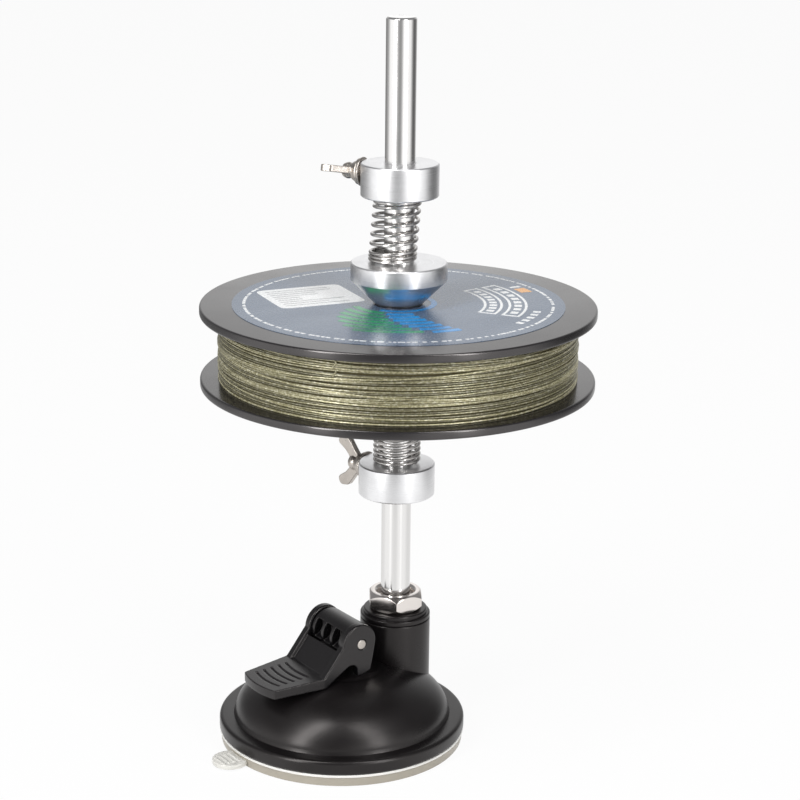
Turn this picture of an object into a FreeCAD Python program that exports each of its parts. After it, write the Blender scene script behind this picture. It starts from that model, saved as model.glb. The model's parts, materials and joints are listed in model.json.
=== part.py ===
"""Fishing line winder: a spool of braided line held between two sprung cones on a
steel rod, over a suction foot with a cam lever.

Millimetres, +Z up along the rod. The origin is where the rod's axis meets the
surface that the foot stands on. +X points from the foot's centre to the rod, so the
cam lever points along -X and its hinge lies along Y.
"""
import FreeCAD, Part
import math
import os

from FreeCAD import Vector

os.makedirs("parts", exist_ok=True)

# ---- clearances -----------------------------------------------------------------
RUN_CLEAR = 0.05          # radial, a shaft or a slide in its hole
STEM_CLEAR = 0.10         # radial, the moulded stem in its guide
SIDE_CLEAR = 0.25         # between the barrel's ends and the lever's ears
CONE_CLEAR = 0.10         # along Z, upper cone over the spool's mouth

# ---- drawing aids ---------------------------------------------------------------
OVERSHOOT = 1.0           # of a cutter or a joined root past the face it meets
NEAR = 0.1                # for picking edges by their place

# ---- suction foot ---------------------------------------------------------------
FOOT_OFFSET = 17.4        # from the rod's axis to the foot's axis
PAD_INSET = 0.3           # of the pad's edge inside the rim's
PAD_H = 3.2
CAVITY_R = 14.0           # hollow that the stem draws up under the pad
CAVITY_H = 1.9
PAD_BANDS = 4             # straight bands in the hollow's outline
PAD_BOSS_R = 9.0          # thick middle of the pad, moulded round the stem's foot
PAD_BOSS_H = 4.6          # above the pad's flat top
TAB_NECK_W = 7.0
TAB_HEAD_W = 9.6
TAB_REACH = 7.2           # beyond the pad's edge
TAB_SINK = 2.0            # of the tab's root into the pad
TAB_T = 1.3
TAB_LIFT = 0.5            # underside of the tab over the surface
TAB_RIBS = 4
TAB_RIB_PITCH = 1.5
TAB_RIB_FIRST = 1.35      # from the tab's end
TAB_RIB_INSET = 0.5       # of a rib's ends from the tab's sides
TAB_RIB_R = 0.35

# ---- base housing ---------------------------------------------------------------
RIM_R = 33.3
RIM_H = 3.8
RIM_CHAMFER = 1.0
FOOT_RING_W = 4.1         # flat ring between the rim's edge and the dome
DOME_RISE = 14.0          # of the whole dome, above the rim's flat ring
PLATEAU_R = 10.6
PLATEAU_RISE = 13.5       # of the flat seat for the cams, above the rim's ring
HOUSING_WALL = 2.4
DOME_BANDS = 8            # straight bands in the quarter ellipse of the dome
HOLLOW_BANDS = 4          # and in that of its hollow
GUIDE_WALL = 2.2          # round the stem
TOWER_R = 9.55
TOWER_RISE = 23.9         # above the rim's ring
TOWER_CHAMFER = 0.35
SOCKET_DEPTH = 15.9       # of the ferrule's socket, from the tower's top

# ---- rod and its fixing ---------------------------------------------------------
ROD_R = 4.0
ROD_FREE = 37.5           # above the upper collar
ROD_CHAMFER = 0.45
FERRULE_R = 5.0
FERRULE_CHAMFER = 0.4
CAP_BEAD_R = 9.55
CAP_BEAD_H = 1.4
CAP_NECK_R = 8.7
CAP_H = 2.6
CAP_CHAMFER = 0.35
NUT_AF = 14.0
NUT_H = 5.0
NUT_CHAMFER_ANGLE = 38.0
NUT_FACE_INSET = 0.15     # of the round end face inside the flats
NUT_MOUTH = 0.6           # chamfer of the thread's mouth
NUT_RECESS = 1.5          # ferrule's end below the nut's top face
NUT_TURN = -2.0           # of a corner from +X

# ---- stem and lever, x and z from the hinge's axis -------------------------------
STEM_R = 3.6
STEM_FOOT_R = 6.0
STEM_FOOT_T = 1.6
STEM_FOOT_RISE = 3.5      # of the stem's foot over the surface
BARREL_R = 5.2
BARREL_HALF = 7.1
POCKETS = 3               # cored into the barrel's outer side
POCKET_RIB_T = 1.2
POCKET_DEPTH = 2.9
POCKET_HALF_H = 2.4
PIN_R = 1.35
PIN_SINK = 0.15           # of the pin's ends in the ears
EAR_R = 5.9
EAR_T = 2.35
EAR_BACK_R = 5.0          # tighter rounding of the ear's back
EAR_FRONT = 176.0         # degrees from +X, where the ear's crown ends over the arm
EAR_BLEND = 124.0         # where the crown's two roundings meet
EDGE_CHAMFER = 0.3
CAM_REACH = 8.7           # of the cams below the hinge with the lever down
CAM_LIFT_PER_RAD = 1.2    # stem travel per radian of lever
CAM_SPAN = 27.5           # degrees of lever that the cams' outline covers
CAM_POINTS = 6
CAM_SEAT = 0.1            # gap between the cams and the plateau
TOE_REACH = 0.4           # of the toe's corner past the cam's end, before it is rounded
ARCH_X = -3.4
ARCH_Z = -7.3
ARCH_R = 2.0
ARCH_END = 122.0          # degrees from +X, where the arch meets the arm's underside
WEB_T = 1.8
WEB_SINK = 0.8            # of the web below the arms' upper edges
WEB_TOP = 1.6             # start of the web along the arms, from the ears
THUMB_ROOT_X = -11.9
THUMB_ROOT_Z = -7.1
THUMB_ROOT_SET = 0.4      # of the arm's underside behind the thumb pad's root
THUMB_SIDE_X = -26.2
THUMB_TIP_X = -27.6
THUMB_TIP_HALF = 7.8
THUMB_FALL = 0.8          # of the thumb pad's top, from its root to its tip
THUMB_T = 2.85
THUMB_ROUND = 1.0
DOME_CLEAR = 0.2          # round the dome, and half of it over the dome, under the lever
GROOVES = 5
GROOVE_PITCH = 2.33
GROOVE_FIRST_X = -24.5
GROOVE_R = 20.0
GROOVE_HALF = 5.8
GROOVE_W = 0.5
GROOVE_DEPTH = 0.35

# ---- collars, wing screws, cones and springs ------------------------------------
COLLAR_R = 10.25
COLLAR_H = 8.7
COLLAR_CHAMFER = 0.35
COLLAR_LIFT = 27.8        # lower collar over the lock nut
SCREW_R = 2.0
SCREW_RISE = 5.45         # of the screw's axis over the collar's lower face
SCREW_STAND = 0.25        # between the wing screw's hub and its collar
HUB_FLANGE_R = 3.85
HUB_FLANGE_S = 1.0        # end of the hub's flange, along the axis from the collar's side
HUB_R = 3.4
HUB_NECK_S = 1.7          # end of the hub's straight part
HUB_STEM_R = 2.3
HUB_STEM_S = 3.2          # where the hub's taper ends in its round stem
HUB_END_S = 6.1
HUB_CHAMFER = 0.4
WING_T = 2.2
WING_IN = (3.0, 1.2)      # inner root corner: along the axis from the collar, across it
WING_TIP = (10.7, 4.2)
WING_SHOULDER = (9.3, 7.4)
WING_OUT = (3.2, 3.4)     # outer root corner
WING_ROUND = 1.2
WING_CHAMFER = 0.4
LOWER_SCREW_AZIMUTH = 105.0
UPPER_SCREW_AZIMUTH = 120.0
LOWER_SCREW_ROLL = 90.0
UPPER_SCREW_ROLL = 12.0
DISC_R = 12.75
DISC_H = 4.6
DISC_CHAMFER = 0.3
CONE_TIP_R = 5.0
CONE_ANGLE = 45.0
SPRING_R = 5.8            # of the coil's centre line
SPRING_WIRE_R = 0.5
SPRING_TURNS = 7.5
SPRING_STEPS = 14         # straight runs per turn of the coil
SPRING_SIDES = 6
LOWER_SPRING_LEN = 11.0
UPPER_SPRING_LEN = 17.5

# ---- spool ----------------------------------------------------------------------
SPOOL_W = 21.7
FLANGE_R = 52.4
FLANGE_T = 2.3
FLANGE_CHAMFER = 0.45
BORE_R = 5.6
MOUTH_R = 6.2             # bore's mouth, which the cones centre
DRUM_R = 36.0
DRUM_WALL = 2.0
CORE_WALL = 2.0
CORE_RIBS = 6
CORE_RIB_T = 1.6
CORE_RIB_SINK = 0.5       # of each rib into the core and the drum
LINE_R = 47.8
LINE_CROWN = 0.5          # rounding of the winding's edges
LABEL_R = 43.9
LABEL_BORE_R = 8.5
LABEL_T = 0.15

# ---- heights, from the surface up -----------------------------------------------
rim_z = PAD_H
pad_r = RIM_R - PAD_INSET
ring_z = rim_z + RIM_H
plateau_z = ring_z + PLATEAU_RISE
hinge_z = plateau_z + CAM_REACH + CAM_SEAT
tower_z = ring_z + TOWER_RISE
socket_z = tower_z - SOCKET_DEPTH
nut_z = tower_z + CAP_H
nut_top_z = nut_z + NUT_H
ferrule_top_z = nut_top_z - NUT_RECESS
lower_collar_z = nut_top_z + COLLAR_LIFT
lower_spring_z = lower_collar_z + COLLAR_H
lower_disc_z = lower_spring_z + LOWER_SPRING_LEN
cone_stand = (DISC_R - MOUTH_R) / math.tan(math.radians(CONE_ANGLE))
spool_z = lower_disc_z + DISC_H + cone_stand
spool_top_z = spool_z + SPOOL_W
upper_disc_z = spool_top_z + cone_stand + CONE_CLEAR
upper_spring_z = upper_disc_z + DISC_H
upper_collar_z = upper_spring_z + UPPER_SPRING_LEN
rod_top_z = upper_collar_z + COLLAR_H + ROD_FREE

dome_foot_r = RIM_R - FOOT_RING_W
ear_half = BARREL_HALF + SIDE_CLEAR + EAR_T
foot_axis = Vector(-FOOT_OFFSET, 0, 0)
X_AXIS = Vector(1, 0, 0)
Y_AXIS = Vector(0, 1, 0)
Z_AXIS = Vector(0, 0, 1)
ORIGIN = Vector(0, 0, 0)


# ---- helpers --------------------------------------------------------------------
def export(shape, node):
    """Write one sub-part and report its volume."""
    solid = shape.removeSplitter()
    if len(solid.Solids) == 1:
        solid = solid.Solids[0]
    print(f"{node:20s} valid {solid.isValid()} volume {solid.Volume:10.2f}")
    solid.exportStep(f"parts/{node}.step")


def line(start, end):
    return Part.makeLine(start, end)


def arc(start, middle, end):
    return Part.Arc(start, middle, end).toShape()


def turned(outline, centre=ORIGIN):
    """Solid of revolution about +Z from closed edges, or from (radius, z) corners."""
    if isinstance(outline[0], tuple):
        corners = [Vector(radius, 0, z) for radius, z in outline]
        outline = [line(a, b) for a, b in zip(corners, corners[1:] + corners[:1])]
    face = Part.Face(Part.Wire(outline))
    solid = face.revolve(ORIGIN, Z_AXIS, 360)
    solid.translate(centre)
    return solid


def cylinder(radius, z_low, z_high, centre=ORIGIN):
    return Part.makeCylinder(radius, z_high - z_low, Vector(centre.x, centre.y, z_low))


def bar_along_y(radius, half_length, x, z):
    return Part.makeCylinder(radius, 2 * half_length, Vector(x, -half_length, z), Y_AXIS)


def plate_along_y(outline, y_low, y_high):
    """Extrude closed edges drawn in the XZ plane from y_low to y_high."""
    face = Part.Face(Part.Wire(outline))
    solid = face.extrude(Vector(0, y_high - y_low, 0))
    solid.translate(Vector(0, y_low, 0))
    return solid


def edges_near(shape, test):
    return [edge for edge in shape.Edges if test(edge)]


def chamfered_ring(r_out, r_in, z_low, z_high, chamfer):
    """A ring with its two outer edges chamfered."""
    return turned([(r_in, z_low), (r_out - chamfer, z_low), (r_out, z_low + chamfer),
                   (r_out, z_high - chamfer), (r_out - chamfer, z_high), (r_in, z_high)])


# ---- suction foot ---------------------------------------------------------------
def suction_pad():
    """Soft disc with a drawn-up hollow, a middle boss round the stem and a pull tab."""
    top = PAD_H + PAD_BOSS_H
    hollow = [(CAVITY_R * math.cos(math.pi / 2 * band / PAD_BANDS),
               CAVITY_H * math.sin(math.pi / 2 * band / PAD_BANDS)) for band in range(PAD_BANDS)]
    pad = turned([(0, CAVITY_H), (0, top), (PAD_BOSS_R, top), (PAD_BOSS_R, PAD_H), (pad_r, PAD_H), (pad_r, 0)]
                 + hollow)
    stem_pocket = cylinder(STEM_FOOT_R + STEM_CLEAR, STEM_FOOT_RISE - STEM_CLEAR,
                           STEM_FOOT_RISE + STEM_FOOT_T + STEM_CLEAR)
    stem_hole = cylinder(STEM_R + STEM_CLEAR, STEM_FOOT_RISE, top + OVERSHOOT)
    pad = pad.fuse(pull_tab()).cut(stem_pocket).cut(stem_hole)
    pad.translate(foot_axis)
    return pad


def pull_tab():
    """Paddle that lifts the pad's edge, drawn about the foot's own axis."""
    head_r = TAB_HEAD_W / 2
    head_x = -(pad_r + TAB_REACH - head_r)
    neck_start = -(pad_r - TAB_SINK)
    neck_corner = Vector(head_x, -TAB_NECK_W / 2, TAB_LIFT)
    neck = Part.makeBox(neck_start - head_x, TAB_NECK_W, TAB_T, neck_corner)
    tab = neck.fuse(Part.makeCylinder(head_r, TAB_T, Vector(head_x, 0, TAB_LIFT)))
    for index in range(TAB_RIBS):
        rib_x = head_x - head_r + TAB_RIB_FIRST + TAB_RIB_PITCH * index
        head_half = math.sqrt(head_r ** 2 - min(head_r, abs(rib_x - head_x)) ** 2)
        reach = min(TAB_NECK_W / 2, head_half) - TAB_RIB_INSET
        tab = tab.fuse(bar_along_y(TAB_RIB_R, reach, rib_x, TAB_LIFT + TAB_T))
    return tab


def dome_corners(wall, bands):
    """(radius, z) up the dome's quarter ellipse from its foot to its crown, taken in by a wall."""
    corners = []
    for band in range(bands):
        angle = math.pi / 2 * band / bands
        height = (DOME_RISE - wall) * math.sin(angle)
        corners.append(((dome_foot_r - wall) * math.cos(angle), ring_z - wall + height))
    return corners + [(0, ring_z + DOME_RISE - 2 * wall)]


def housing_hollow():
    """Room under the dome, its wall in straight drafted bands."""
    corners = [(0, rim_z - OVERSHOOT), (dome_foot_r - HOUSING_WALL, rim_z - OVERSHOOT)]
    corners += dome_corners(HOUSING_WALL, HOLLOW_BANDS)
    hollow = turned(corners)
    hollow = hollow.cut(cylinder(RIM_R, plateau_z - HOUSING_WALL, ring_z + DOME_RISE))
    guide_z = PAD_H + PAD_BOSS_H + CAVITY_H
    hollow = hollow.cut(cylinder(STEM_R + STEM_CLEAR + GUIDE_WALL, guide_z, plateau_z))
    hollow.translate(foot_axis)
    return hollow.cut(cylinder(TOWER_R, socket_z - HOUSING_WALL, plateau_z))


def base_housing():
    """Moulded shell: rim, dome, cam plateau and the tower that carries the rod."""
    corners = [(0, rim_z), (RIM_R, rim_z), (RIM_R, ring_z - RIM_CHAMFER), (RIM_R - RIM_CHAMFER, ring_z)]
    body = turned(corners + dome_corners(0, DOME_BANDS))
    body = body.cut(cylinder(RIM_R, plateau_z, ring_z + DOME_RISE + OVERSHOOT))
    body = body.fuse(cylinder(PLATEAU_R, ring_z, plateau_z))
    body.translate(foot_axis)
    body = body.fuse(turned([(0, ring_z - OVERSHOOT), (TOWER_R, ring_z - OVERSHOOT),
                             (TOWER_R, tower_z - TOWER_CHAMFER), (TOWER_R - TOWER_CHAMFER, tower_z),
                             (0, tower_z)]))
    body = body.cut(housing_hollow())
    body = body.cut(cylinder(STEM_R + STEM_CLEAR, rim_z - OVERSHOOT, plateau_z + OVERSHOOT, foot_axis))
    return body.cut(cylinder(FERRULE_R, socket_z, tower_z + OVERSHOOT))


def tower_cap():
    """Ring between the tower and the lock nut, with a bead flush with the tower."""
    bead_z = tower_z + CAP_BEAD_H
    return turned([(FERRULE_R, tower_z), (CAP_BEAD_R - CAP_CHAMFER, tower_z),
                   (CAP_BEAD_R, tower_z + CAP_CHAMFER), (CAP_BEAD_R, bead_z - CAP_CHAMFER),
                   (CAP_BEAD_R - CAP_CHAMFER, bead_z), (CAP_NECK_R, bead_z),
                   (CAP_NECK_R, nut_z - CAP_CHAMFER), (CAP_NECK_R - CAP_CHAMFER, nut_z),
                   (FERRULE_R, nut_z)])


def rod_ferrule():
    """Threaded sleeve moulded into the tower; the rod is pressed into it."""
    return turned([(ROD_R, socket_z), (FERRULE_R, socket_z), (FERRULE_R, ferrule_top_z - FERRULE_CHAMFER),
                   (FERRULE_R - FERRULE_CHAMFER, ferrule_top_z), (ROD_R, ferrule_top_z)])


def lock_nut():
    """Hexagon nut, chamfered both sides, tightened down on the tower's cap."""
    corner_r = NUT_AF / 2 / math.cos(math.radians(30))
    angles = [math.radians(60 * index + NUT_TURN) for index in range(6)]
    corners = [Vector(corner_r * math.cos(angle), corner_r * math.sin(angle), nut_z) for angle in angles]
    hexagon = Part.Face(Part.makePolygon(corners + corners[:1])).extrude(Vector(0, 0, NUT_H))
    face_r = NUT_AF / 2 - NUT_FACE_INSET
    drop = (corner_r - face_r) * math.tan(math.radians(NUT_CHAMFER_ANGLE))
    envelope = turned([(0, nut_z), (face_r, nut_z), (corner_r, nut_z + drop),
                       (corner_r, nut_top_z - drop), (face_r, nut_top_z), (0, nut_top_z)])
    mouth = turned([(0, nut_top_z - NUT_MOUTH), (FERRULE_R, nut_top_z - NUT_MOUTH),
                    (FERRULE_R + NUT_MOUTH, nut_top_z), (0, nut_top_z)])
    thread = cylinder(FERRULE_R, nut_z - OVERSHOOT, nut_top_z + OVERSHOOT)
    return hexagon.common(envelope).cut(thread).cut(mouth)


def spool_rod():
    return turned([(0, socket_z), (ROD_R, socket_z), (ROD_R, rod_top_z - ROD_CHAMFER),
                   (ROD_R - ROD_CHAMFER, rod_top_z), (0, rod_top_z)])


# ---- stem and lever -------------------------------------------------------------
def at_hinge(x, z):
    """A point of the lever's side outline, given from the hinge's axis."""
    return Vector(x - FOOT_OFFSET, 0, hinge_z + z)


def on_circle(x, z, radius, degrees):
    """A point on a circle of the side outline, by its angle from +X towards +Z."""
    angle = math.radians(degrees)
    return at_hinge(x + radius * math.cos(angle), z + radius * math.sin(angle))


def side_prism(corners, y_low, y_high):
    """Extrude straight-sided corners of the side outline."""
    return plate_along_y([line(a, b) for a, b in zip(corners, corners[1:] + corners[:1])], y_low, y_high)


def pull_stem():
    """Moulded stem: foot in the pad, guided shaft and the barrel that takes the pin."""
    shaft = cylinder(STEM_R, STEM_FOOT_RISE, hinge_z, foot_axis)
    foot = cylinder(STEM_FOOT_R, STEM_FOOT_RISE, STEM_FOOT_RISE + STEM_FOOT_T, foot_axis)
    barrel = bar_along_y(BARREL_R, BARREL_HALF, -FOOT_OFFSET, hinge_z)
    stem = shaft.fuse(foot).fuse(barrel)
    pitch = (2 * BARREL_HALF - POCKET_RIB_T) / POCKETS
    for index in range(POCKETS):
        y_low = -BARREL_HALF + POCKET_RIB_T + index * pitch
        corners = [at_hinge(POCKET_DEPTH - BARREL_R, 0),
                   at_hinge(-BARREL_R - OVERSHOOT, -POCKET_HALF_H),
                   at_hinge(-BARREL_R - OVERSHOOT, POCKET_HALF_H + OVERSHOOT),
                   at_hinge(POCKET_DEPTH - BARREL_R, POCKET_HALF_H + OVERSHOOT)]
        stem = stem.cut(side_prism(corners, y_low, y_low + pitch - POCKET_RIB_T))
    return stem.cut(bar_along_y(PIN_R, BARREL_HALF + OVERSHOOT, -FOOT_OFFSET, hinge_z))


def lever_pin():
    return bar_along_y(PIN_R, ear_half - PIN_SINK, -FOOT_OFFSET, hinge_z)


def cam_edge():
    """Involute working edge: its height over a flat seat falls evenly with the lever's angle."""
    points = []
    for step in range(CAM_POINTS):
        angle = math.radians(CAM_SPAN) * step / (CAM_POINTS - 1)
        reach = CAM_REACH - CAM_LIFT_PER_RAD * angle
        x = reach * math.sin(angle) - CAM_LIFT_PER_RAD * math.cos(angle)
        z = -reach * math.cos(angle) - CAM_LIFT_PER_RAD * math.sin(angle)
        points.append(at_hinge(x, z))
    curve = Part.BSplineCurve()
    curve.interpolate(points)
    corner = points[-1] + Vector(math.cos(angle), 0, math.sin(angle)) * TOE_REACH
    return curve.toShape(), points[0], points[-1], corner


def ear_plate():
    """One side of the lever: ear, cam, arch and arm down to the thumb pad's root."""
    cam, heel, toe, corner = cam_edge()
    back_x = (EAR_R - EAR_BACK_R) * math.cos(math.radians(EAR_BLEND))
    back_z = (EAR_R - EAR_BACK_R) * math.sin(math.radians(EAR_BLEND))
    ear_front = on_circle(0, 0, EAR_R, EAR_FRONT)
    ear_crown = on_circle(0, 0, EAR_R, EAR_BLEND)
    to_corner = corner - at_hinge(back_x, back_z)
    ear_end = math.degrees(math.atan2(to_corner.z, to_corner.x) + math.acos(EAR_BACK_R / to_corner.Length))
    ear_back = on_circle(back_x, back_z, EAR_BACK_R, ear_end)
    arch_right = at_hinge(ARCH_X + ARCH_R, ARCH_Z)
    arch_left = on_circle(ARCH_X, ARCH_Z, ARCH_R, ARCH_END)
    root_low = at_hinge(THUMB_ROOT_X + THUMB_ROOT_SET, THUMB_ROOT_Z - THUMB_T)
    root_high = at_hinge(THUMB_ROOT_X, THUMB_ROOT_Z)
    outline = [arc(ear_front, on_circle(0, 0, EAR_R, (EAR_FRONT + EAR_BLEND) / 2), ear_crown),
               arc(ear_crown, on_circle(back_x, back_z, EAR_BACK_R, (EAR_BLEND + ear_end) / 2), ear_back),
               line(ear_back, corner),
               line(corner, toe),
               cam,
               line(heel, arch_right),
               arc(arch_right, on_circle(ARCH_X, ARCH_Z, ARCH_R, ARCH_END / 2), arch_left),
               line(arch_left, root_low),
               line(root_low, root_high),
               line(root_high, ear_front)]
    plate = plate_along_y(outline, ear_half - EAR_T, ear_half)
    plate = plate.makeChamfer(EDGE_CHAMFER, edges_near(
        plate, lambda edge: edge.BoundBox.YLength < NEAR and edge.CenterOfMass.z > hinge_z - EAR_BACK_R))
    return plate.cut(toe_corner(ear_back, toe, corner))


def toe_corner(ear_back, toe, corner):
    """What a rounding tangent to the cam and to the ear's back takes off the toe."""
    rising = (ear_back - corner).normalize()
    bisector = (rising + (toe - corner).normalize()).normalize()
    half_angle = rising.getAngle(bisector)
    middle = corner + bisector * (TOE_REACH * (1 - math.sin(half_angle)) / math.cos(half_angle))
    outside = corner - bisector * TOE_REACH
    toe_back = corner + rising * TOE_REACH
    return plate_along_y([arc(toe_back, middle, toe), line(toe, outside), line(outside, toe_back)],
                         ear_half - EAR_T - OVERSHOOT, ear_half + OVERSHOOT)


def lever_web():
    """Sunken plate between the arms, from the barrel down to the thumb pad."""
    front = on_circle(0, 0, EAR_R, EAR_FRONT)
    along = at_hinge(THUMB_ROOT_X, THUMB_ROOT_Z) - front
    along.normalize()
    inward = Vector(-along.z, 0, along.x)
    start = front + along * WEB_TOP
    crease = (THUMB_ROOT_Z - start.z + hinge_z - WEB_SINK * inward.z) / along.z
    under = (THUMB_ROOT_Z - THUMB_T - start.z + hinge_z - (WEB_SINK + WEB_T) * inward.z) / along.z
    corners = [start + inward * WEB_SINK,
               start + inward * WEB_SINK + along * crease,
               start + inward * (WEB_SINK + WEB_T) + along * under,
               start + inward * (WEB_SINK + WEB_T)]
    return side_prism(corners, EAR_T / 2 - ear_half, ear_half - EAR_T / 2), corners[1], corners[2]


def thumb_pad(crease, under):
    """Thumb pad with a rounded tip and curved grip grooves, from the web's lower end face."""
    side = [crease,
            at_hinge(THUMB_ROOT_X, THUMB_ROOT_Z),
            at_hinge(THUMB_TIP_X - OVERSHOOT, THUMB_ROOT_Z - THUMB_FALL),
            at_hinge(THUMB_TIP_X - OVERSHOOT, THUMB_ROOT_Z - THUMB_FALL / 2 - THUMB_T),
            under]
    slab = side_prism(side, -ear_half, ear_half)
    root = Vector(max(crease.x, under.x), ear_half, 0)
    corner = Vector(THUMB_ROOT_X - FOOT_OFFSET, ear_half, 0)
    shoulder = Vector(THUMB_SIDE_X - FOOT_OFFSET, THUMB_TIP_HALF, 0)
    tip = Vector(THUMB_TIP_X - FOOT_OFFSET, 0, 0)
    mirrored = [Vector(p.x, -p.y, p.z) for p in (root, corner, shoulder)]
    plan = [line(root, corner), line(corner, shoulder), arc(shoulder, tip, mirrored[2]),
            line(mirrored[2], mirrored[1]), line(mirrored[1], mirrored[0]), line(mirrored[0], root)]
    blank = Part.Face(Part.Wire(plan)).extrude(Vector(0, 0, 2 * hinge_z))
    blank = blank.makeFillet(THUMB_ROUND, edges_near(
        blank, lambda edge: edge.BoundBox.ZLength > hinge_z and abs(edge.CenterOfMass.x - shoulder.x) < NEAR))
    pad = blank.common(slab)
    for index in range(GROOVES):
        pad = pad.cut(grip_groove(GROOVE_FIRST_X + index * GROOVE_PITCH))
    return pad


def grip_groove(middle_x):
    """A shallow curved channel across the thumb pad, bulging towards its tip."""
    fall = THUMB_FALL * (THUMB_ROOT_X - middle_x) / (THUMB_ROOT_X - THUMB_TIP_X + OVERSHOOT)
    centre = at_hinge(middle_x + GROOVE_R, THUMB_ROOT_Z - fall - GROOVE_DEPTH)
    ring = Part.makeCylinder(GROOVE_R + GROOVE_W / 2, THUMB_T, centre).cut(
        Part.makeCylinder(GROOVE_R - GROOVE_W / 2, THUMB_T, centre))
    window = Part.makeBox(GROOVE_R, 2 * GROOVE_HALF, THUMB_T,
                          centre + Vector(-GROOVE_R - GROOVE_W, -GROOVE_HALF, 0))
    return ring.common(window)


def dome_room():
    """Room over the dome and the plateau's front edge, for the lever's underside."""
    top = plateau_z + 2 * DOME_CLEAR
    room = turned([(0, ring_z), (dome_foot_r, ring_z)] + dome_corners(-DOME_CLEAR, DOME_BANDS))
    room = room.cut(cylinder(RIM_R, top, top + DOME_RISE)).fuse(cylinder(PLATEAU_R + DOME_CLEAR, ring_z, top))
    room.translate(foot_axis)
    return room.common(Part.makeBox(RIM_R, 2 * RIM_R, top, Vector(-FOOT_OFFSET - EAR_R - RIM_R, -RIM_R, 0)))


def cam_lever():
    """Two cam ears, arms, web and thumb pad in one moulding."""
    ear = ear_plate()
    web, crease, under = lever_web()
    lever = ear.fuse(ear.mirror(ORIGIN, Y_AXIS)).fuse(web).fuse(thumb_pad(crease, under)).cut(dome_room())
    barrel_room = bar_along_y(BARREL_R + SIDE_CLEAR, BARREL_HALF + SIDE_CLEAR, -FOOT_OFFSET, hinge_z)
    pin_hole = bar_along_y(PIN_R + RUN_CLEAR, ear_half + OVERSHOOT, -FOOT_OFFSET, hinge_z)
    return lever.cut(barrel_room).cut(pin_hole)


# ---- collars, wing screws, cones and springs ------------------------------------
def collar(z_low, azimuth):
    """Turned collar that slides on the rod, with a tapped hole for its wing screw."""
    ring = chamfered_ring(COLLAR_R, ROD_R + RUN_CLEAR, z_low, z_low + COLLAR_H, COLLAR_CHAMFER)
    hole_start = Vector(0, 0, z_low + SCREW_RISE)
    hole = Part.makeCylinder(SCREW_R + RUN_CLEAR, COLLAR_R + OVERSHOOT, hole_start, X_AXIS)
    hole.rotate(ORIGIN, Z_AXIS, azimuth)
    return ring.cut(hole)


def wing_blade():
    """One cast wing in the plane of the screw's axis, as a chamfered paddle."""
    root = SCREW_R / 2
    outline = [(WING_IN[0] - root, 0), WING_IN, WING_TIP, WING_SHOULDER, WING_OUT, (WING_OUT[0] - root, root)]
    corners = [Vector(along, across, -WING_T / 2) for along, across in outline]
    blade = Part.Face(Part.makePolygon(corners + corners[:1])).extrude(Vector(0, 0, WING_T))
    far = WING_SHOULDER[0] - NEAR
    blade = blade.makeFillet(WING_ROUND, edges_near(
        blade, lambda edge: edge.BoundBox.ZLength > WING_T / 2 and edge.CenterOfMass.x > far))
    return blade.makeChamfer(WING_CHAMFER, edges_near(
        blade, lambda edge: edge.BoundBox.ZLength < NEAR and edge.BoundBox.XMax > WING_OUT[0] + NEAR))


def wing_screw(z_low, azimuth, roll):
    """Cast wing screw: shank that bears on the rod, stepped hub and two wings."""
    start = ROD_R + RUN_CLEAR - COLLAR_R
    shank = Part.makeCylinder(SCREW_R, HUB_END_S - HUB_CHAMFER - start, Vector(start, 0, 0), X_AXIS)
    hub = turned([(0, SCREW_STAND), (HUB_FLANGE_R, SCREW_STAND), (HUB_FLANGE_R, HUB_FLANGE_S),
                  (HUB_R, HUB_FLANGE_S), (HUB_R, HUB_NECK_S), (HUB_STEM_R, HUB_STEM_S),
                  (HUB_STEM_R, HUB_END_S - HUB_CHAMFER), (HUB_STEM_R - HUB_CHAMFER, HUB_END_S),
                  (0, HUB_END_S)])
    hub.rotate(ORIGIN, Y_AXIS, 90)
    blade = wing_blade()
    screw = shank.fuse(hub).fuse(blade).fuse(blade.mirror(ORIGIN, Y_AXIS))
    screw.translate(Vector(COLLAR_R, 0, 0))
    screw.rotate(ORIGIN, X_AXIS, roll)
    screw.rotate(ORIGIN, Z_AXIS, azimuth)
    screw.translate(Vector(0, 0, z_low + SCREW_RISE))
    return screw


def cone(disc_z, up):
    """Centring cone: a disc for the spring and a cone into the spool's bore."""
    sign = 1 if up else -1
    disc_far = disc_z + sign * DISC_H
    tip = disc_far + sign * (DISC_R - CONE_TIP_R) / math.tan(math.radians(CONE_ANGLE))
    bore = ROD_R + RUN_CLEAR
    return turned([(bore, disc_z), (DISC_R - DISC_CHAMFER, disc_z), (DISC_R, disc_z + sign * DISC_CHAMFER),
                   (DISC_R, disc_far), (CONE_TIP_R, tip), (bore, tip)])


def spring(z_low, length):
    """Wire coil whose end turns touch the collar and the disc, bent from short mitred runs."""
    steps = round(SPRING_STEPS * SPRING_TURNS)
    rise = length - 2 * SPRING_WIRE_R
    points = []
    for step in range(steps + 1):
        angle = 2 * math.pi * step / SPRING_STEPS
        height = z_low + SPRING_WIRE_R + rise * step / steps
        points.append(Vector(SPRING_R * math.cos(angle), SPRING_R * math.sin(angle), height))
    run = (points[1] - points[0]).normalize()
    outward = (X_AXIS - run * run.dot(X_AXIS)).normalize()
    upward = run.cross(outward)
    ring = []
    for side in range(SPRING_SIDES):
        angle = 2 * math.pi * (side + 0.5) / SPRING_SIDES
        offset = outward * math.cos(angle) + upward * math.sin(angle)
        ring.append(points[0] + offset * SPRING_WIRE_R)
    section = Part.makePolygon(ring + ring[:1])
    return Part.makePolygon(points).makePipeShell([section], True, False, 1)


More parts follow.
